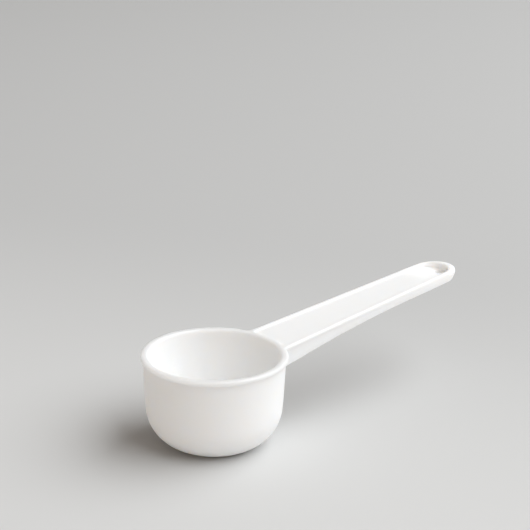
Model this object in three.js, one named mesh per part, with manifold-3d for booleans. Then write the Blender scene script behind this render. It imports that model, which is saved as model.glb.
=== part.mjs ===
// Kitchen measuring scoop that holds 30 ml level full. A round bowl with a rolled lip carries a
// channel-section handle, which rises a little towards a dished eye for hanging.
// Millimetres, +Z up. The origin is the centre of the foot and the handle points along +X.

import * as THREE from 'three';
import { mergeVertices } from 'three/addons/utils/BufferGeometryUtils.js';
import loadManifold from 'manifold-3d';

// Bowl
const rimRadius = 22.6; // outside of the lip
const bowlHeight = 28.8; // foot to top of lip
const wallThickness = 1.7;
const draftAngle = 2.5; // degrees, the wall narrows towards the foot
const footRadius = 12.2; // flat that the scoop stands on
const footCorner = 12.9; // outside radius between wall and foot
const floorThickness = 2.8;
const floorCorner = 9; // inside radius between wall and floor

// Lip
const lipHeight = 1.2;
const lipOverhang = 0.7; // beyond the wall, outside
const lipCrown = 0.55; // height of the rounded top

// Handle, measured in its own plane from the outer edge of the lip
const handleRise = 6.7; // degrees above the rim plane
const handleLength = 78.6; // to the round end of the eye
const rootWidth = 18.2; // over the borders, at the lip
const tipRadius = 6.9;
const tipNose = 1.7; // the border's tip beyond the round of the eye
const rootFillet = 2.5; // between border and lip, in plan

// Handle section
const borderWidth = 1.7;
const borderHeight = 1.2;
const borderRound = 0.55; // radius along the top of the border
const webRecess = 0.6; // web below the top of the border
const webThickness = 1;
const railThickness = 1;
const railSetback = 0.65; // rail inside the border's outer face, at the root
const rootDepth = 6.9; // border top to rail foot, at the lip
const tipDepth = 3.65; // the same, at the eye
const levelReach = 52.5; // where the rail foot stops rising

// Hanging eye
const eyeLength = 14.2; // back from its round end
const eyeWall = 1.9; // round the hollow under the eye
const eyeFloor = 1; // between dish and hollow
const dishDepth = 2; // below the web
const dishRadius = 8.2;
const dishInset = 6.1; // round end of the eye to the middle of the dish
const holeRadius = 1.6;
const holeInset = 4.3; // the same, to the middle of the hanging hole

// Clearances between neighbouring pieces
const seatGap = 0.3; // handle pieces to the round bowl
const seamGap = 0.05; // handle pieces to each other

// Facets
const roundSteps = 72;
const cornerSteps = 9;
const crownSteps = 8;
const tipSteps = 20;
const filletSteps = 4;
const bevelSteps = 3;
const railSteps = 14;
const weldDistance = 1e-4;

// White plastic, glossier on the lip and border where hands polish it
const plasticColour = 0xf3f2ee;
const polishedRoughness = 0.34;
const satinRoughness = 0.42;

const wasm = await loadManifold();
wasm.setup();

const radians = THREE.MathUtils.degToRad;
const point = (x, y) => new THREE.Vector2(x, y);

// Points along an arc, both ends included
function arc(centre, radiusX, radiusY, from, to, steps) {
  return Array.from({ length: steps + 1 }, (_, i) => {
    const angle = from + ((to - from) * i) / steps;
    return point(centre.x + radiusX * Math.cos(angle), centre.y + radiusY * Math.sin(angle));
  });
}

// Closed mesh with shared corners, without the flat triangles that a revolve leaves on its axis
function weld(geometry) {
  const bare = new THREE.BufferGeometry();
  const flat = geometry.index ? geometry.toNonIndexed() : geometry;
  bare.setAttribute('position', flat.getAttribute('position').clone());
  const merged = mergeVertices(bare, weldDistance);
  const corners = [];
  for (let i = 0; i < merged.index.count; i += 3) {
    const [a, b, c] = [0, 1, 2].map((k) => merged.index.getX(i + k));
    if (a !== b && b !== c && c !== a) corners.push(a, b, c);
  }
  merged.setIndex(corners);
  return merged;
}

function toSolid(geometry) {
  const welded = weld(geometry);
  return new wasm.Manifold(
    new wasm.Mesh({
      numProp: 3,
      vertProperties: welded.getAttribute('position').array,
      triVerts: Uint32Array.from(welded.index.array),
    }),
  );
}

function toGeometry(solid) {
  const mesh = solid.getMesh();
  const geometry = new THREE.BufferGeometry();
  geometry.setAttribute('position', new THREE.BufferAttribute(mesh.vertProperties, 3));
  geometry.setIndex(new THREE.BufferAttribute(mesh.triVerts, 1));
  geometry.computeVertexNormals();
  return geometry;
}

// Solid of revolution about Z from radius and height pairs
function revolve(profile, steps = roundSteps) {
  return new THREE.LatheGeometry(profile, steps).rotateX(Math.PI / 2);
}

// Plan outline raised between two heights
function raise(outline, low, high) {
  const settings = { depth: high - low, bevelEnabled: false };
  return new THREE.ExtrudeGeometry(new THREE.Shape(outline), settings).translate(0, 0, low);
}

// Bowl outline: a drafted wall that runs into one large corner and ends on the flat foot
const lipFoot = bowlHeight - lipHeight;
const wallRadius = rimRadius - lipOverhang;
const draft = radians(draftAngle);
const wallInset = wallThickness / Math.cos(draft);

// Centre of a corner that touches the wall line from inside and passes through a point of the foot
function cornerThrough(wallTop, radius, foot) {
  const slope = Math.tan(draft);
  const reach = wallTop - radius / Math.cos(draft) - slope * lipFoot;
  const side = foot - reach;
  const scale = 1 + slope * slope;
  const height = (slope * side + Math.sqrt(scale * radius * radius - side * side)) / scale;
  return point(reach + slope * height, height);
}

// Centre of a corner that touches both the wall line and a floor
function cornerOn(wallTop, radius, floor) {
  const height = floor + radius;
  const slope = Math.tan(draft);
  return point(wallTop - radius / Math.cos(draft) - slope * (lipFoot - height), height);
}

function outerWall(clearance) {
  const radius = footCorner + clearance;
  const centre = cornerThrough(wallRadius, footCorner, footRadius);
  const footAngle = -Math.PI / 2 + Math.asin((footRadius - centre.x) / footCorner);
  const corner = arc(centre, radius, radius, footAngle, -draft, cornerSteps);
  return [...corner, point(wallRadius + clearance, lipFoot)];
}

function bowlShell() {
  const centre = cornerOn(wallRadius - wallInset, floorCorner, floorThickness);
  const corner = arc(centre, floorCorner, floorCorner, -draft, -Math.PI / 2, cornerSteps);
  return revolve([
    point(0, 0),
    ...outerWall(0),
    point(wallRadius - wallInset, lipFoot),
    ...corner,
    point(0, floorThickness),
  ]);
}

// Lip: straight sides under a half-round crown, standing on the top edge of the wall
const lipWidth = lipOverhang + wallInset;

function lipProfile(clearance) {
  const middle = point(rimRadius - lipWidth / 2, bowlHeight - lipCrown);
  const halfWidth = lipWidth / 2 + clearance;
  return arc(middle, halfWidth, lipCrown + clearance, 0, Math.PI, crownSteps);
}

function rimLip() {
  const crown = lipProfile(0);
  const foot = [point(rimRadius - lipWidth, lipFoot), point(rimRadius, lipFoot)];
  return revolve([...crown, ...foot, crown[0]]);
}

// Everything inside the bowl's outer face and lip, kept clear of the handle by the seat gap.
// The lip's outer face is carried down by a drop, so that what meets the lip stays out from under it.
function bowlEnvelope(drop) {
  const crown = lipProfile(seatGap).filter((p) => p.x > rimRadius - lipWidth / 2);
  const wall = outerWall(seatGap);
  const wallTop = wall.pop();
  return revolve([
    point(0, -seatGap),
    ...wall,
    point(wallTop.x, lipFoot - drop),
    point(rimRadius + seatGap, lipFoot - drop),
    ...crown,
    point(rimRadius - lipWidth / 2, bowlHeight + seatGap),
    point(0, bowlHeight + seatGap),
  ]);
}

// Handle plan: straight flanks that run tangent into a round tip. Offsets are measured inwards.
const tipCentre = handleLength - tipRadius;
const eyeStart = handleLength - eyeLength;
const rootInside = -rimRadius / 3; // the handle pieces start inside the bowl and are trimmed
const flankReach = Math.hypot(tipCentre, rootWidth / 2);
const flankLean = Math.atan2(rootWidth / 2, tipCentre);
const flankAngle = Math.PI - flankLean - Math.acos(tipRadius / flankReach);
const flankSlope = 1 / Math.tan(flankAngle);

function flank(x, offset) {
  const radius = tipRadius - offset;
  const touchX = tipCentre + radius * Math.cos(flankAngle);
  return radius * Math.sin(flankAngle) + (touchX - x) * flankSlope;
}

function tipArc(offset, nose = 0) {
  const radius = tipRadius - offset;
  return arc(point(tipCentre, 0), radius + nose, radius, -flankAngle, flankAngle, tipSteps);
}

function handlePlan(offset, start) {
  return [point(start, -flank(start, offset)), ...tipArc(offset), point(start, flank(start, offset))];
}

// Part of the plan between two stations, without the tip
function handleStrip(offset, start, end) {
  return [
    point(start, -flank(start, offset)),
    point(end, -flank(end, offset)),
    point(end, flank(end, offset)),
    point(start, flank(start, offset)),
  ];
}

// Root fillet, tangent to the lip's outer circle and to the flank, from the lip outwards
function filletArc() {
  const rise = flank(0, 0) + rootFillet / Math.sin(flankAngle);
  const scale = 1 + flankSlope * flankSlope;
  const half = rimRadius - flankSlope * rise;
  const rest = rimRadius ** 2 + rise ** 2 - (rimRadius + rootFillet) ** 2;
  const x = (Math.sqrt(half * half - scale * rest) - half) / scale;
  const centre = point(x, rise - flankSlope * x);
  const atLip = Math.atan2(centre.y, centre.x + rimRadius) - Math.PI;
  const atFlank = flankAngle - Math.PI;
  return arc(centre, rootFillet, rootFillet, atLip, atFlank, filletSteps);
}

const mirrored = (points) => points.map((p) => point(p.x, -p.y));

// The border is a band round the handle's edge, open at the bowl, with a rounded top. At the tip it
// widens to a nose that stands out beyond the eye.
function handleBorder() {
  const fillet = filletArc();
  const outer = [
    point(rootInside, -fillet[0].y),
    ...mirrored(fillet),
    ...tipArc(0, tipNose),
    ...fillet.slice().reverse(),
    point(rootInside, fillet[0].y),
  ];
  const inner = handlePlan(borderWidth, rootInside).reverse();
  const settings = {
    depth: borderHeight,
    bevelThickness: borderRound,
    bevelSize: borderRound,
    bevelOffset: -borderRound,
    bevelSegments: bevelSteps,
  };
  const shape = new THREE.Shape([...outer, ...inner]);
  const band = new THREE.ExtrudeGeometry(shape, settings).translate(0, 0, -borderHeight - borderRound);
  const around = handleStrip(-rootWidth, -rimRadius, handleLength + tipNose + rootWidth);
  return toSolid(band).intersect(toSolid(raise(around, -borderHeight, borderHeight)));
}

function handleWeb() {
  const plan = handleStrip(borderWidth + seamGap, rootInside, eyeStart - seamGap);
  return toSolid(raise(plan, -webRecess - webThickness, -webRecess));
}

// Side view of the rails: the foot sweeps up from the bowl and levels out towards the tip
function railSide() {
  const startDepth = tipDepth + (rootDepth - tipDepth) * (1 - rootInside / levelReach) ** 2;
  const shape = new THREE.Shape();
  shape.moveTo(rootInside, -startDepth);
  shape.quadraticCurveTo((rootInside + levelReach) / 2, -tipDepth, levelReach, -tipDepth);
  shape.lineTo(eyeStart - seamGap, -tipDepth);
  shape.lineTo(eyeStart - seamGap, -borderHeight - seamGap);
  shape.lineTo(rootInside, -borderHeight - seamGap);
  const settings = { depth: rootWidth * 2, bevelEnabled: false, curveSegments: railSteps };
  const side = new THREE.ExtrudeGeometry(shape, settings).rotateX(Math.PI / 2);
  return toSolid(side.translate(0, rootWidth, 0));
}

// A rail stands under the border, set back at the root and flush where it meets the eye
function sideRail(hand) {
  const setback = (x) => railSetback * (1 - x / eyeStart);
  const face = (x, depth) => point(x, hand * flank(x, setback(x) + depth));
  const outline = [
    face(rootInside, 0),
    face(eyeStart, 0),
    face(eyeStart, railThickness),
    face(rootInside, railThickness),
  ];
  const plan = hand < 0 ? outline : outline.reverse();
  return toSolid(raise(plan, -2 * rootDepth, 0)).intersect(railSide());
}

// Eye: a walled tip whose floor dips from the web in a shallow dish, with a small hole to hang it by
const dishCentre = handleLength - dishInset;
const holeCentre = handleLength - holeInset;

function dishTool(lowered) {
  const ball = (dishRadius ** 2 + dishDepth ** 2) / (2 * dishDepth);
  const centre = point(0, ball - dishDepth - webRecess - lowered);
  const brim = Math.acos((centre.y - borderHeight) / ball);
  const cap = arc(centre, ball, ball, -Math.PI / 2, brim - Math.PI / 2, cornerSteps);
  const dish = revolve([...cap, point(0, borderHeight)], roundSteps / 2);
  return toSolid(dish.translate(dishCentre, 0, 0));
}

function holeTool() {
  const outline = arc(point(holeCentre, 0), holeRadius, holeRadius, 0, 2 * Math.PI, tipSteps);
  return toSolid(raise(outline.slice(1), -2 * tipDepth, tipDepth));
}

function hangEye() {
  const insideBorder = handlePlan(borderWidth + seamGap, eyeStart);
  const ring = raise(handlePlan(0, eyeStart), -tipDepth, -borderHeight - seamGap);
  const floor = raise(insideBorder, -tipDepth, -webRecess);
  const dishLimit = raise(handlePlan(borderWidth, eyeStart - borderWidth), -tipDepth, borderHeight);
  const hollowEnd = holeCentre - holeRadius - eyeFloor;
  const hollowPlan = handleStrip(eyeWall, eyeStart - eyeWall, hollowEnd);
  const hollow = toSolid(raise(hollowPlan, -2 * tipDepth, -webRecess - eyeFloor));
  return toSolid(ring)
    .add(toSolid(floor))
    .subtract(dishTool(0).intersect(toSolid(dishLimit)))
    .subtract(hollow.subtract(dishTool(eyeFloor)))
    .subtract(holeTool());
}

function whitePlastic(roughness) {
  return new THREE.MeshStandardMaterial({ color: plasticColour, roughness, metalness: 0 });
}

function piece(name, geometry, roughness) {
  const mesh = new THREE.Mesh(geometry, whitePlastic(roughness));
  mesh.name = name;
  return mesh;
}

const handle = new THREE.Group();
handle.position.set(rimRadius, 0, bowlHeight);
handle.rotation.y = -radians(handleRise);
handle.updateMatrix();

// The bowl's envelope as the handle's own frame sees it: border and web end on the lip, rails on the wall
const intoHandle = handle.matrix.clone().invert();
const lipEnvelope = toSolid(bowlEnvelope(borderHeight).applyMatrix4(intoHandle));
const wallEnvelope = toSolid(bowlEnvelope(seatGap).applyMatrix4(intoHandle));

handle.add(
  piece('handle_border', toGeometry(handleBorder().subtract(lipEnvelope)), polishedRoughness),
  piece('handle_web', toGeometry(handleWeb().subtract(lipEnvelope)), satinRoughness),
  piece('side_rail_left', toGeometry(sideRail(1).subtract(wallEnvelope)), satinRoughness),
  piece('side_rail_right', toGeometry(sideRail(-1).subtract(wallEnvelope)), satinRoughness),
  piece('hang_eye', toGeometry(hangEye()), satinRoughness),
);

const scoop = new THREE.Group();
scoop.add(
  piece('bowl_shell', toGeometry(toSolid(bowlShell())), satinRoughness),
  piece('rim_lip', toGeometry(toSolid(rimLip())), polishedRoughness),
  handle,
);

export default scoop;
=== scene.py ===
import math

import bmesh
import bpy
import numpy as np
from mathutils import Matrix, Vector


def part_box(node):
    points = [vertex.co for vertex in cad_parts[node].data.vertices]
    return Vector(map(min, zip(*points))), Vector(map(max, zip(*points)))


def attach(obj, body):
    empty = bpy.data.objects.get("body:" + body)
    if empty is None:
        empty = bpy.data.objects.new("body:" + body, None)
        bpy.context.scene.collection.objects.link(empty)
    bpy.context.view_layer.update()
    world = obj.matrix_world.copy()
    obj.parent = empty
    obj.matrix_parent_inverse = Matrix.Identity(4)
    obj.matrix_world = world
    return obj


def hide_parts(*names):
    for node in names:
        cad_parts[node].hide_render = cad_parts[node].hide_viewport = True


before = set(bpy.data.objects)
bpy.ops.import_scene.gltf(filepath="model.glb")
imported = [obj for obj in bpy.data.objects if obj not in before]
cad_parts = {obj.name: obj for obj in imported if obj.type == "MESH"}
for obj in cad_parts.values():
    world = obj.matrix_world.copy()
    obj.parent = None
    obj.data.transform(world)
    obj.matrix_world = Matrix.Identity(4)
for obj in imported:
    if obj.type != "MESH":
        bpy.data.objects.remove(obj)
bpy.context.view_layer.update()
mm = 0.001  # the shapes below are in millimetres, the scene is in metres


def nodeBox(name):
    low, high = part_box(name)
    return np.array(low) / mm, np.array(high) / mm


# Sizes that the frame gives
lipLow, lipHigh = nodeBox("rim_lip")
rimRadius = lipHigh[0]
rimHeight = lipHigh[2]
lipFoot = lipLow[2]
wallRadius = nodeBox("bowl_shell")[1][0]
eyeEnd = nodeBox("hang_eye")[1][0]
noseEnd = nodeBox("handle_border")[1][0]

bowl = {
    "draft": 2.5,  # degrees
    "footRadius": 12.2,
    "footCorner": 12.9,
    "footEdge": 0.6,  # from the corner to the flat of the foot
    "floor": 2.8,
    "floorCorner": 9.0,
    "wallLevels": (24.0, 19.5, 15.0),  # rings on the inside wall
    "flatRings": (0.6, 0.25, 0.0),  # rings on foot and floor, as shares of the flat
    "backSteps": 30,  # from the back of the bowl to the handle, on one side
    "cornerSteps": 6,
}

# The lip's section from its crest: in from the outer edge, down from the top
lip = {
    "crest": (0.95, 0.0),
    "outside": [
        (0.45, 0.05),
        (0.13, 0.26),
        (0.0, 0.62),
        (0.0, 1.08),
        (0.04, 1.36),
        (0.16, 1.48),
        (0.6, 1.48),
        (0.7, 1.56),
    ],
    "inside": [(1.62, 0.03), (2.1, 0.2), (2.3, 0.55), (2.37, 1.0), (2.34, 1.4), (2.34, 1.9)],
    "panelSide": [(0.5, 0.04), (0.14, 0.24), (0.04, 0.48)],  # towards the handle's web
    "below": 0.65,  # next ring on the wall, under the lip
}

handle = {
    "rise": 6.7,  # degrees
    "rootWidth": 18.2,
    "tipRadius": 6.9,
    "borderHeight": 1.2,  # of the frame's solid; the border's section reaches a little lower
    "webRecess": 0.6,
    "webThickness": 1.0,
    "stations": 17,  # along the flank, up to the brim of the dish
    "crowding": 1.35,  # how much closer together they are at the root
    "acrossSteps": 8,
    "tipSteps": 8,
    "rootBow": 5.0,  # how far along the web follows the curve of the lip
    "brimBow": 8,  # power that bows the web towards the brim
}

# The border's section from its crest: in from the outer edge, down from the top,
# share of the rail's setback, and how much of the nose and of the droop it has at the tip
border = {
    "crest": (0.85, 0.0, 0.0, 0.1, 0.25),
    "outside": [
        (0.32, 0.07, 0.0, 0.45, 0.45),
        (0.05, 0.3, 0.0, 0.8, 0.7),
        (0.0, 0.6, 0.0, 1.0, 0.85),
        (0.0, 1.05, 0.0, 1.0, 0.95),
        (0.0, 1.28, 0.08, 0.97, 1.0),
        (0.0, 1.38, 0.28, 0.93, 1.0),
        (0.0, 1.39, 0.9, 0.9, 1.05),
        (0.0, 1.47, 1.05, 0.86, 1.1),
    ],
    "inside": [(1.38, 0.06, 0.0, 0.0, 0.2), (1.64, 0.26, 0.0, 0.0, 0.12)],
    "droop": 0.9,  # how far the border dips at the tip
    "floorEdge": (1.7, 0.1),  # in from the outer edge, up from the floor
    "floor": 1.84,
    "lipGap": 0.14,  # where the web starts, outside the lip
}

rail = {
    "thickness": 1.0,
    "setback": 0.65,
    "setbackEnd": 64.4,  # where the rail comes flush with the border
    "rootDepth": 6.9,
    "tipDepth": 3.65,
    "levelReach": 52.5,
    "topDrop": 0.5,  # first row under the border
    # How much of the nose and of the droop the rows have at the tip, from border to foot
    "tip": [(0.78, 1.1), (0.5, 0.45), (0.15, 0.0), (0.0, 0.0)],
    "footRound": 0.12,
    "footLift": 0.4,
}

channel = {
    "corner": 0.45,  # between rail and roof
    "cornerDrop": 0.3,
    "leastDrop": (0.75, 0.6),  # from the roof to the foot, at the rails and in the middle
    "endBow": 2.0,
    "endSteps": (0.12, 0.5, 1.0),  # how far each row of the end leans back
}

eye = {
    "dishDepth": 2.0,  # under the web, at the dish's lowest point
    "dishRadius": 14.0,  # from there to the brim
    "dishInset": 2.5,  # round end of the eye to the lowest point
    "holeRadius": 1.5,
    "holeInset": 3.75,  # round end of the eye to the middle of the hole
    "holeRound": 0.22,
    "rings": (0.3, 0.6, 0.85, 1.0),  # from the brim to the hole
    "underRings": (0.5, 1.0),  # from the hole to the foot, underneath
    "skin": 1.0,  # between dish and hollow
}

# How polished the rows are, counted from the crest; the rest are satin
polishedRows = {
    "outside": (1, 1, 1, 1, 1, 0.8, 0.5),
    "pocket": (1, 1, 0.7),
    "inside": (1, 1, 0.8, 0.4),
}

rise = math.radians(handle["rise"])
sinRise, cosRise = math.sin(rise), math.cos(rise)
draft = math.radians(bowl["draft"])
slope = math.tan(draft)
handleLength = (eyeEnd - rimRadius - rail["tipDepth"] * sinRise) / cosRise
tipNose = (noseEnd - rimRadius - handle["borderHeight"] * sinRise) / cosRise - handleLength
tipCentre = handleLength - handle["tipRadius"]
dishCentre = handleLength - eye["dishInset"]
holeCentre = handleLength - eye["holeInset"]
settleRounds = 20  # after which a crossing of two lines no longer moves
print(f"sizes: rim {rimRadius:.2f}, height {rimHeight:.2f} mm")
print(f"sizes: handle {handleLength:.2f} and its nose {tipNose:.2f} mm")


class Cage:
    # Patches of quads whose shared borders are welded afterwards
    def __init__(self):
        self.points = []
        self.faces = []
        self.polish = []

    def patch(self, rows, polish=()):
        first = len(self.points)
        width = len(rows[0])
        shine = list(polish) + [0.0] * (len(rows) - len(polish))
        for row, shineOfRow in zip(rows, shine):
            self.points += [tuple(p) for p in row]
            self.polish += [float(shineOfRow)] * width
        for r in range(len(rows) - 1):
            for c in range(width - 1):
                a = first + r * width + c
                self.faces.append((a, a + 1, a + width + 1, a + width))


def fromHandle(u, y, depth):
    # Handle plane to the scoop's frame: u runs along the handle from the lip,
    # depth is below the border's top
    x = rimRadius + u * cosRise + depth * sinRise
    z = rimHeight + u * sinRise - depth * cosRise
    return np.stack(np.broadcast_arrays(x, y, z), axis=-1)


def ring(radius, height, angles):
    heights = np.full(len(angles), height)
    return np.stack([radius * np.cos(angles), radius * np.sin(angles), heights], axis=-1)


def wallAt(height):
    return wallRadius - slope * (lipFoot - height)


# Edge of the handle: straight flanks that run tangent into the round tip
flankReach = math.hypot(tipCentre, handle["rootWidth"] / 2)
flankLean = math.atan2(handle["rootWidth"] / 2, tipCentre)
flankAngle = math.pi - flankLean - math.acos(handle["tipRadius"] / flankReach)
touch = tipCentre + handle["tipRadius"] * math.cos(flankAngle)


def flank(u):
    return handle["tipRadius"] * math.sin(flankAngle) + (touch - u) / math.tan(flankAngle)


def floorDepth(u, y):
    # The dish falls evenly to its lowest point, near the tip
    away = np.hypot(np.asarray(u) - dishCentre, y)
    reach = np.clip(away / eye["dishRadius"], 0, 1)
    return handle["webRecess"] + eye["dishDepth"] * (1 - reach)


def railDepth(u):
    left = np.clip(1 - np.asarray(u) / rail["levelReach"], 0, None)
    return rail["tipDepth"] + (rail["rootDepth"] - rail["tipDepth"]) * left**2


def railSetback(u):
    return rail["setback"] * np.clip(1 - np.asarray(u) / rail["setbackEnd"], 0, 1)


def brimStation():
    # Where the brim of the dish runs into the border
    u = dishCentre
    for _ in range(settleRounds):
        y = flank(u) - border["floor"] * math.sin(flankAngle)
        reach = math.sqrt(eye["dishRadius"] ** 2 - y**2)
        u = dishCentre - reach + border["floor"] * math.cos(flankAngle)
    return u


brim = brimStation()
brimAt = handle["stations"] - 1  # index of the brim among the stations
flankShare = np.arange(1, handle["stations"] + 1) / handle["stations"]
flankU = np.array([*brim * flankShare ** handle["crowding"], (brim + touch) / 2, touch])
tipTurn = np.linspace(flankAngle, 0, handle["tipSteps"] + 1)[1:]
edgeU = np.concatenate([flankU, tipCentre + handle["tipRadius"] * np.cos(tipTurn)])
edgeY = np.concatenate([flank(flankU), handle["tipRadius"] * np.sin(tipTurn)])
edgeTurn = np.concatenate([np.full(len(flankU), flankAngle), tipTurn])
along = np.minimum(edgeU, touch)
setback = railSetback(along)
depth = railDepth(along)
across = handle["acrossSteps"]
back = bowl["backSteps"]
acrossShare = np.linspace(0, 1, across + 1)
footLevel = rimHeight - float(railDepth(0))
tipShare = np.clip((np.cos(edgeTurn) - math.cos(flankAngle)) / (1 - math.cos(flankAngle)), 0, 1)


def edgePlan(inset, nose=0.0):
    u = edgeU - inset * np.cos(edgeTurn) + tipNose * nose * tipShare
    return u, edgeY - inset * np.sin(edgeTurn)


def cornerOf(radius, height, inset, rowDepth):
    # Where a ring of the bowl meets a line along the handle's flank
    shift = inset * math.cos(flankAngle)
    u = 0.0
    for _ in range(settleRounds):
        y = flank(u) - inset * math.sin(flankAngle)
        u = (math.sqrt(radius**2 - y**2) - rimRadius - rowDepth * sinRise) / cosRise + shift
    point = fromHandle(u - shift, y, rowDepth)
    if height is not None:
        point[2] = (point[2] + height) / 2
    return point


def keyholeRow(radius, height, inset, rowDepth, inwards=False, tip=(0.0, 0.0)):
    # Half a ring of the bowl, from its back or from the handle's middle,
    # then the handle's edge to the tip
    nose, droop = tip
    insets = np.broadcast_to(inset, len(edgeU))
    depths = rowDepth + border["droop"] * droop * np.sqrt(tipShare)
    corner = cornerOf(radius, height, insets[0], depths[0])
    start, steps = (0.0, across) if inwards else (math.pi, back)
    turn = math.atan2(corner[1], corner[0])
    level = corner[2] if height is None else height
    arc = ring(radius, level, np.linspace(start, turn, steps + 1)[:-1])
    u, y = edgePlan(insets, nose)
    return np.vstack([arc, corner[None], fromHandle(u, y, depths)])


def sectionRow(lipPoint, borderPoint, inwards=False):
    # One line round the lip and the border
    lipIn, lipDrop = lipPoint
    edgeIn, drop, backShare, *tip = borderPoint
    inset = edgeIn + backShare * setback
    return keyholeRow(rimRadius - lipIn, rimHeight - lipDrop, inset, drop, inwards, tip)


def outsideRows():
    # Outside of lip and border, then the rail and the wall down to the rail's foot
    rows = [sectionRow(lip["crest"], border["crest"])]
    rows += [sectionRow(*points) for points in zip(lip["outside"], border["outside"])]
    height, lift = handle["borderHeight"], rail["footLift"]
    top, middle, low, foot = rail["tip"]
    under = lipFoot - lip["below"]
    half = (rimHeight - height + footLevel) / 2
    rows.append(keyholeRow(wallAt(under), under, setback, height + rail["topDrop"], tip=top))
    rows.append(keyholeRow(wallAt(half), None, setback, (height + depth) / 2, tip=middle))
    rows.append(keyholeRow(wallAt(footLevel + lift), None, setback, depth - lift, tip=low))
    rows.append(keyholeRow(wallAt(footLevel), None, setback + rail["footRound"], depth, tip=foot))
    return rows


def pocketRows():
    # Inside of the border, down to the web and the dish
    floorHere = floorDepth(*edgePlan(border["floor"]))
    rows = [sectionRow(lip["crest"], border["crest"], True)]
    rows += [sectionRow(*points, True) for points in zip(lip["panelSide"], border["inside"])]
    lipIn, lipDrop = lip["panelSide"][-1]
    edgeIn, lift = border["floorEdge"]
    rows.append(keyholeRow(rimRadius - lipIn, rimHeight - lipDrop, edgeIn, floorHere - lift, True))
    rows.append(keyholeRow(rimRadius + border["lipGap"], None, border["floor"], floorHere, True))
    return rows


def bowOf(startBow, endBow, u):
    # Columns follow the lip at one end and a curve at the other
    return startBow * math.exp(-u / handle["rootBow"]) + endBow * (u / brim) ** handle["brimBow"]


def brimLine():
    y = edgePlan(border["floor"])[1][brimAt] * acrossShare
    return dishCentre - np.sqrt(eye["dishRadius"] ** 2 - y**2), y


def webColumns(webRow):
    u, y = edgePlan(border["floor"])
    rootBow = (webRow[0, 0] - webRow[across, 0]) / cosRise
    brimBow = dishCentre - eye["dishRadius"] - u[brimAt]
    columns = [webRow[: across + 1]]
    for i in range(brimAt):
        bow = bowOf(rootBow, brimBow, edgeU[i]) * (1 - acrossShare**2)
        columns.append(fromHandle(u[i] + bow, y[i] * acrossShare, handle["webRecess"]))
    columns.append(fromHandle(*brimLine(), handle["webRecess"]))
    return columns


def channelEnd(inset):
    # Line across the handle where the hollow underneath stops
    u, y = edgePlan(inset)
    return u[brimAt] + channel["endBow"] * (1 - acrossShare**2), y[brimAt] * acrossShare


def eyeRings(footInset):
    # Dish, hanging hole and the flat under the tip
    brimU, brimY = brimLine()
    floorU, floorY = edgePlan(border["floor"])
    topU = np.concatenate([brimU, floorU[brimAt + 1 :]])
    topY = np.concatenate([brimY, floorY[brimAt + 1 :]])
    turn = np.arctan2(topY, topU - holeCentre)

    def circle(radius):
        return holeCentre + radius * np.cos(turn), radius * np.sin(turn)

    brinkU, brinkY = circle(eye["holeRadius"] + eye["holeRound"])
    wallU, wallY = circle(eye["holeRadius"])
    rings = [fromHandle(topU, topY, floorDepth(topU, topY))]
    for part in eye["rings"]:
        u, y = topU + (brinkU - topU) * part, topY + (brinkY - topY) * part
        rings.append(fromHandle(u, y, floorDepth(u, y)))
    rings.append(fromHandle(wallU, wallY, floorDepth(wallU, wallY) + eye["holeRound"]))
    rings.append(fromHandle(wallU, wallY, rail["tipDepth"] - eye["holeRound"]))
    rings.append(fromHandle(brinkU, brinkY, rail["tipDepth"]))
    footU, footY = edgePlan(footInset)
    endU, endY = channelEnd(footInset)
    underU = np.concatenate([endU, footU[brimAt + 1 :]])
    underY = np.concatenate([endY, footY[brimAt + 1 :]])
    for part in eye["underRings"]:
        u, y = brinkU + (underU - brinkU) * part, brinkY + (underY - brinkY) * part
        rings.append(fromHandle(u, y, rail["tipDepth"]))
    return rings


def channelRow(radius, inset, rowDepth, leanBack):
    # From the bowl's wall along the rail and across the end of the channel
    depths = np.broadcast_to(rowDepth, len(edgeU))
    row = keyholeRow(radius, None, inset, depths, True)[: across + 1 + brimAt]
    u, y = channelEnd(inset)
    return np.vstack([row, fromHandle(u[::-1] - leanBack, y[::-1], depths[brimAt])])


def channelRows(footInner, footInset):
    # Inner faces of the rails, from the foot to the roof under the web
    ceiling = handle["webRecess"] + handle["webThickness"]
    inner = setback + rail["thickness"]
    roofInset = inner + channel["corner"]
    roof = np.maximum(ceiling, floorDepth(*edgePlan(roofInset)) + eye["skin"])
    roof = np.minimum(roof, depth - channel["leastDrop"][0])
    low, high, top = channel["endSteps"]
    lift, drop = rail["footLift"], channel["cornerDrop"]
    endU, endY = channelEnd(footInset)
    footEnd = fromHandle(endU[::-1], endY[::-1], rail["tipDepth"])
    rows = [np.vstack([footInner[: across + 1 + brimAt], footEnd])]
    rows.append(channelRow(wallAt(footLevel + lift), inner, depth - lift, low))
    rows.append(channelRow(wallAt(rimHeight - ceiling - drop), inner, roof + drop, high))
    rows.append(channelRow(wallAt(rimHeight - ceiling) + channel["corner"], roofInset, roof, top))
    return rows, roof, roofInset


def roofColumns(roofRow, roof, roofInset):
    u, y = edgePlan(roofInset)
    rootBow = (roofRow[0, 0] - roofRow[across, 0]) / cosRise
    columns = [roofRow[: across + 1]]
    for i in range(brimAt):
        bow = bowOf(rootBow, channel["endBow"], edgeU[i]) * (1 - acrossShare**2)
        columnU, columnY = u[i] + bow, y[i] * acrossShare
        columnDepth = np.maximum(roof[i], floorDepth(columnU, columnY) + eye["skin"])
        columnDepth = np.minimum(columnDepth, depth[i] - channel["leastDrop"][1])
        columns.append(fromHandle(columnU, columnY, columnDepth))
    columns.append(roofRow[-1 : -across - 2 : -1])
    return columns


def cornerProfile(centreR, centreZ, radius, start, end):
    turns = np.linspace(start, end, bowl["cornerSteps"] + 1)
    return [(centreR + radius * math.cos(t), centreZ + radius * math.sin(t)) for t in turns]


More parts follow.
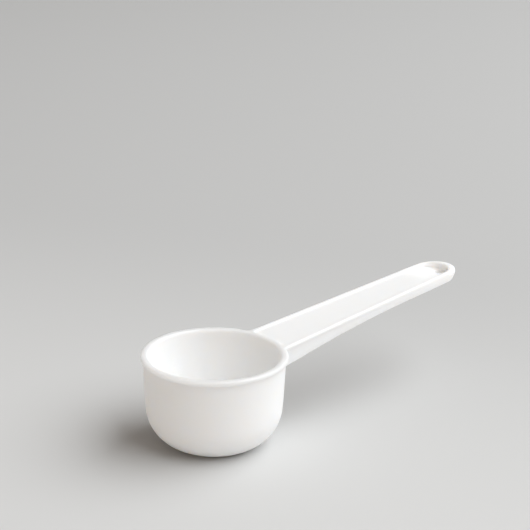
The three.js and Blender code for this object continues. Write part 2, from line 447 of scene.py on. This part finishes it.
def bowlBelow(around):
    # From the rail's foot down the wall, round the corner and across the foot
    angles = np.arctan2(around[:, 1], around[:, 0])
    corner, foot = bowl["footCorner"], bowl["footRadius"]
    reach = wallRadius - corner / math.cos(draft) - slope * lipFoot
    side = foot - reach
    scale = 1 + slope**2
    centreZ = (slope * side + math.sqrt(scale * corner**2 - side**2)) / scale
    centreR = reach + slope * centreZ
    footTurn = -math.pi / 2 + math.asin((foot - centreR) / corner)
    middle = (footLevel + centreZ - corner * math.sin(draft)) / 2
    profile = [(wallAt(middle), middle)]
    profile += cornerProfile(centreR, centreZ, corner, -draft, footTurn)
    profile += [(foot - bowl["footEdge"], 0)]
    profile += [(foot * share, 0) for share in bowl["flatRings"]]
    return [around] + [ring(r, z, angles) for r, z in profile]


def bowlInside(crestRing):
    # From the crest of the lip down to the floor
    angles = np.arctan2(crestRing[:, 1], crestRing[:, 0])
    top = rimRadius - lip["inside"][-1][0]
    corner, floor = bowl["floorCorner"], bowl["floor"]
    centreZ = floor + corner
    centreR = top - corner / math.cos(draft) - slope * (lipFoot - centreZ)
    profile = [(rimRadius - lipIn, rimHeight - drop) for lipIn, drop in lip["inside"]]
    profile += [(top - slope * (lipFoot - z), z) for z in bowl["wallLevels"]]
    profile += cornerProfile(centreR, centreZ, corner, -draft, -math.pi / 2)
    profile += [(centreR * share, floor) for share in bowl["flatRings"]]
    return [crestRing] + [ring(r, z, angles) for r, z in profile]


def buildCage():
    cage = Cage()
    outside = outsideRows()
    footOut = outside[-1]
    cage.patch(outside, polishedRows["outside"])
    pocket = pocketRows()
    cage.patch(pocket, polishedRows["pocket"])
    cage.patch(webColumns(pocket[-1]))
    footInset = setback + rail["thickness"] - rail["footRound"]
    cage.patch(eyeRings(footInset))
    footInner = keyholeRow(wallAt(footLevel), None, footInset, depth, True)
    cage.patch([footOut[back:], footInner[across:]])
    rows, roof, roofInset = channelRows(footInner, footInset)
    cage.patch(rows)
    cage.patch(roofColumns(rows[-1], roof, roofInset))
    cage.patch(bowlBelow(np.vstack([footOut[: back + 1], footInner[across::-1]])))
    crestRing = np.vstack([outside[0][: back + 1], pocket[0][across - 1 :: -1]])
    cage.patch(bowlInside(crestRing), polishedRows["inside"])
    return cage


cage = buildCage()
print(f"cage: {len(cage.points)} points, {len(cage.faces)} faces on one side")

mould = {
    "weld": 0.002,  # distance at which points join
    "level": 2,  # rounds of smoothing
    "lipFade": 4.0,  # length over which the lip's glow ends along the handle
}


def newObject(name, mesh):
    made = bpy.data.objects.new(name, mesh)
    bpy.context.scene.collection.objects.link(made)
    return made


def halfMesh(cage, material):
    mesh = bpy.data.meshes.new("scoopHalf")
    mesh.from_pydata([tuple(c * mm for c in p) for p in cage.points], [], cage.faces)
    away = np.array([math.hypot(x, y) for x, y, z in cage.points])
    onLip = np.clip((rimRadius + mould["lipFade"] - away) / mould["lipFade"], 0, 1)
    for name, values in (("polish", cage.polish), ("edge", cage.polish * onLip)):
        mesh.attributes.new(name, "FLOAT", "POINT").data.foreach_set("value", values)
    work = bmesh.new()
    work.from_mesh(mesh)
    for v in work.verts:
        if abs(v.co.y) < mould["weld"] * mm:
            v.co.y = 0  # on the plane of symmetry
    bmesh.ops.remove_doubles(work, verts=work.verts, dist=mould["weld"] * mm)
    bmesh.ops.recalc_face_normals(work, faces=work.faces)
    work.to_mesh(mesh)
    work.free()
    mesh.materials.append(material)
    return mesh


def mouldTree(material):
    # Mirrors the half, welds it along the middle and rounds it
    tree = bpy.data.node_groups.new("mouldScoop", "GeometryNodeTree")
    tree.interface.new_socket("Geometry", in_out="INPUT", socket_type="NodeSocketGeometry")
    tree.interface.new_socket("Weld", in_out="INPUT", socket_type="NodeSocketFloat")
    tree.interface.new_socket("Level", in_out="INPUT", socket_type="NodeSocketInt")
    tree.interface.new_socket("Geometry", in_out="OUTPUT", socket_type="NodeSocketGeometry")

    def node(kind, **inputs):
        made = tree.nodes.new(kind)
        for name, value in inputs.items():
            if isinstance(value, bpy.types.NodeSocket):
                tree.links.new(value, made.inputs[name])
            else:
                made.inputs[name].default_value = value
        return made

    given = node("NodeGroupInput").outputs
    other = node("GeometryNodeTransform", Geometry=given["Geometry"], Scale=(1, -1, 1)).outputs[0]
    other = node("GeometryNodeFlipFaces", Mesh=other).outputs[0]
    joined = node("GeometryNodeJoinGeometry")
    tree.links.new(other, joined.inputs[0])
    tree.links.new(given["Geometry"], joined.inputs[0])
    both = joined.outputs[0]
    whole = node("GeometryNodeMergeByDistance", Geometry=both, Distance=given["Weld"]).outputs[0]
    soft = node("GeometryNodeSubdivisionSurface", Mesh=whole, Level=given["Level"]).outputs[0]
    soft = node("GeometryNodeSetShadeSmooth", Geometry=soft).outputs[0]
    real = node("GeometryNodeRealizeInstances", Geometry=soft).outputs[0]
    done = node("GeometryNodeSetMaterial", Geometry=real, Material=material).outputs[0]
    tree.links.new(done, tree.nodes.new("NodeGroupOutput").inputs[0])
    return tree


def mouldScoop(cage, material):
    half = newObject("scoopHalf", halfMesh(cage, material))
    tree = mouldTree(material)
    modifier = half.modifiers.new("mould", "NODES")
    modifier.node_group = tree
    sockets = {s.name: s.identifier for s in tree.interface.items_tree if s.in_out == "INPUT"}
    modifier[sockets["Weld"]] = mould["weld"] * mm
    modifier[sockets["Level"]] = mould["level"]
    graph = bpy.context.evaluated_depsgraph_get()
    mesh = bpy.data.meshes.new_from_object(half.evaluated_get(graph))
    bpy.data.objects.remove(half)
    mesh.name = "scoop_moulding"
    return newObject("scoop_moulding", mesh)


class Wire:
    # A shader socket that can be used in sums
    def __init__(self, socket):
        self.socket = socket

    @staticmethod
    def node(tree, kind, settings=None, inputs=None, output=0):
        made = tree.nodes.new(kind)
        for name, value in (settings or {}).items():
            setattr(made, name, value)
        for name, value in (inputs or {}).items():
            if isinstance(value, Wire):
                tree.links.new(value.socket, made.inputs[name])
            else:
                made.inputs[name].default_value = value
        return Wire(made.outputs[output]) if len(made.outputs) else made

    def sum(self, operation, first, second):
        tree = self.socket.id_data
        return Wire.node(tree, "ShaderNodeMath", {"operation": operation}, {0: first, 1: second})

    def __add__(self, other):
        return self.sum("ADD", self, other)

    def __sub__(self, other):
        return self.sum("SUBTRACT", self, other)

    def __rsub__(self, other):
        return self.sum("SUBTRACT", other, self)

    def __mul__(self, other):
        return self.sum("MULTIPLY", self, other)

    __radd__ = __add__
    __rmul__ = __mul__


def newMaterial(name):
    made = bpy.data.materials.new(name)
    made.use_nodes = True
    made.node_tree.nodes.clear()
    return made, made.node_tree


def mixColours(tree, factor, first, second):
    colourA, colourB, colourOut = 6, 7, 2  # the Mix node's sockets for colours
    sides = {"Factor": factor, colourA: first, colourB: second}
    return Wire.node(tree, "ShaderNodeMix", {"data_type": "RGBA"}, sides, output=colourOut)


def mixShaders(tree, factor, first, second):
    return Wire.node(tree, "ShaderNodeMixShader", None, {0: factor, 1: first, 2: second})


noiseMiddle = 0.5  # about which a noise texture wavers

# Flow, haze and grain are noises: scale per metre, then detail
plastic = {
    "white": (0.965, 0.965, 0.96, 1),
    "milky": (0.955, 0.955, 0.95, 1),  # a shade less white, in soft patches
    "flow": (45, 2),
    "satin": 0.44,
    "polished": 0.3,
    "haze": (420, 3),
    "hazeAmount": 0.08,  # how much the roughness wavers
    "ior": 1.49,
    "glow": (1.0, 0.92, 0.84),  # how deep red, green and blue light go, against each other
    "glowDepth": 0.008,  # metres, of which the skin method takes about a twelfth
    "edgeDepth": 0.035,  # along the lip, which light enters from all sides
    "grain": (2400, 2),
    "grainStrength": 0.12,
    "grainHeight": 0.00004,
    "grainWorn": 0.7,  # share of the grain that is gone where it is polished
}


def whitePlastic():
    made, tree = newMaterial("whitePlastic")
    place = Wire.node(tree, "ShaderNodeTexCoord", output="Object")

    def noise(scale, detail):
        inputs = {"Vector": place, "Scale": scale, "Detail": detail}
        return Wire.node(tree, "ShaderNodeTexNoise", None, inputs)

    polish = Wire.node(tree, "ShaderNodeAttribute", {"attribute_name": "polish"}, output="Fac")
    edge = Wire.node(tree, "ShaderNodeAttribute", {"attribute_name": "edge"}, output="Fac")
    flow = noise(*plastic["flow"])
    haze = noise(*plastic["haze"])
    grain = noise(*plastic["grain"])
    colour = mixColours(tree, flow, plastic["milky"], plastic["white"])
    sheen = plastic["satin"] + (plastic["polished"] - plastic["satin"]) * polish
    roughness = sheen + plastic["hazeAmount"] * (haze - noiseMiddle)
    relief = {
        "Strength": plastic["grainStrength"],
        "Distance": plastic["grainHeight"],
        "Height": grain * (1 - plastic["grainWorn"] * polish),
    }
    bump = Wire.node(tree, "ShaderNodeBump", None, relief)

    def shader(glowDepth):
        settings = {"subsurface_method": "RANDOM_WALK_SKIN"}
        inputs = {
            "Base Color": colour,
            "Roughness": roughness,
            "IOR": plastic["ior"],
            "Normal": bump,
            "Subsurface Weight": 1,
            "Subsurface Radius": plastic["glow"],
            "Subsurface Scale": glowDepth,
        }
        return Wire.node(tree, "ShaderNodeBsdfPrincipled", settings, inputs)

    mixed = mixShaders(tree, edge, shader(plastic["glowDepth"]), shader(plastic["edgeDepth"]))
    Wire.node(tree, "ShaderNodeOutputMaterial", None, {"Surface": mixed})
    return made


scoop = mouldScoop(cage, whitePlastic())
print(f"moulding: {len(scoop.data.polygons)} faces")
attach(scoop, "root")
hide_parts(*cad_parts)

studio = {
    "near": (0.637, 0.64, 0.639, 1),  # floor in front; near and far are painted shade, the floor darker with distance as the light falls off
    "far": (0.526, 0.529, 0.529, 1),
    "lean": 23.5,  # degrees to the right of the view, along which near turns to far
    "fade": (-0.044, 0.207),  # metres over which it does
    "floorSize": 8.0,
    "floorRoughness": 0.6,
    "floorShine": 0.2,
    "fill": 0.24,
    "fillColour": (1.0, 0.875, 0.77, 1),
    "backdrop": 0.57,  # what the camera sees past the floor
}

# Softboxes: turn in degrees from +X and lift above the floor,
# distance and size in metres, power in watts
softboxes = {
    "keySoftbox": {
        "turn": -42.0,
        "lift": 52.0,
        "away": 2.4,
        "size": (4.4, 2.4),
        "power": 92.0,
        "colour": (0.975, 1.0, 1.015),
    },
    "bounceCard": {
        "turn": -155.0,
        "lift": 9.0,
        "away": 2.4,
        "size": (1.2, 0.5),
        "power": 3.4,
        "colour": (1.0, 0.8, 0.62),
    },
}

view = {
    "turn": -39.93,  # degrees round the scoop, from -Y
    "lift": 18.63,
    "roll": 1.04,
    "place": (-255.5, -328.4, 197.6),  # millimetres, as the lens and the sensor are
    "lens": 100,
    "sensor": 36,
}


def floorFinish():
    # Pale, darker with distance: painted shade for the light falling off
    made, tree = newMaterial("studioFloor")
    turn = math.radians(view["turn"] - studio["lean"])
    place = Wire.node(tree, "ShaderNodeTexCoord", output="Object")
    away = Wire.node(
        tree,
        "ShaderNodeVectorMath",
        {"operation": "DOT_PRODUCT"},
        {0: place, 1: (-math.sin(turn), math.cos(turn), 0)},
        output="Value",
    )
    near, far = studio["fade"]
    reach = Wire.node(
        tree,
        "ShaderNodeMapRange",
        {"interpolation_type": "SMOOTHSTEP"},
        {"Value": away, "From Min": near, "From Max": far},
    )
    inputs = {
        "Base Color": mixColours(tree, reach, studio["near"], studio["far"]),
        "Roughness": studio["floorRoughness"],
        "Specular IOR Level": studio["floorShine"],
    }
    shader = Wire.node(tree, "ShaderNodeBsdfPrincipled", None, inputs)
    Wire.node(tree, "ShaderNodeOutputMaterial", None, {"Surface": shader})
    return made


def buildFloor():
    half = studio["floorSize"] / 2
    mesh = bpy.data.meshes.new("studioFloor")
    corners = [(-half, -half, 0), (half, -half, 0), (half, half, 0), (-half, half, 0)]
    mesh.from_pydata(corners, [], [(0, 1, 2, 3)])
    mesh.materials.append(floorFinish())
    return newObject("studioFloor", mesh)


def buildLight():
    for name, box in softboxes.items():
        turn, lift = math.radians(box["turn"]), math.radians(box["lift"])
        level = math.cos(lift)
        towards = Vector((math.cos(turn) * level, math.sin(turn) * level, math.sin(lift)))
        lamp = bpy.data.lights.new(name, "AREA")
        lamp.shape = "ELLIPSE"
        lamp.size, lamp.size_y = box["size"]
        lamp.energy = box["power"]
        lamp.color = box["colour"]
        placed = newObject(name, lamp)
        placed.location = towards * box["away"]
        placed.rotation_euler = towards.to_track_quat("Z", "Y").to_euler()


def buildWorld():
    world = bpy.data.worlds.new("studioFill")
    world.use_nodes = True
    bpy.context.scene.world = world
    tree = world.node_tree
    tree.nodes.clear()
    seen = Wire.node(tree, "ShaderNodeLightPath", output="Is Camera Ray")
    for kind in ("Is Glossy Ray", "Is Transmission Ray"):
        seen = seen + Wire.node(tree, "ShaderNodeLightPath", output=kind)
    fill = {"Color": studio["fillColour"], "Strength": studio["fill"]}
    lit = Wire.node(tree, "ShaderNodeBackground", None, fill)
    plain = Wire.node(tree, "ShaderNodeBackground", None, {"Strength": studio["backdrop"]})
    Wire.node(tree, "ShaderNodeOutputWorld", None, {"Surface": mixShaders(tree, seen, lit, plain)})


def buildCamera():
    turn, lift, roll = (math.radians(view[k]) for k in ("turn", "lift", "roll"))
    level = math.cos(lift)
    behind = Vector((math.sin(turn) * level, -math.cos(turn) * level, math.sin(lift)))
    right = Vector((math.cos(turn), math.sin(turn), 0))
    up = behind.cross(right)
    sideways = right * math.cos(roll) + up * math.sin(roll)
    upright = up * math.cos(roll) - right * math.sin(roll)
    data = bpy.data.cameras.new("photoCamera")
    data.lens = view["lens"]
    data.sensor_width = view["sensor"]
    camera = newObject("photoCamera", data)
    pose = Matrix((sideways, upright, behind)).transposed().to_4x4()
    pose.translation = Vector(view["place"]) * mm
    camera.matrix_world = pose
    bpy.context.scene.camera = camera


buildFloor()
buildLight()
buildWorld()
buildCamera()
bpy.context.scene.view_settings.view_transform = "Standard"
print("studio: floor, light and camera")
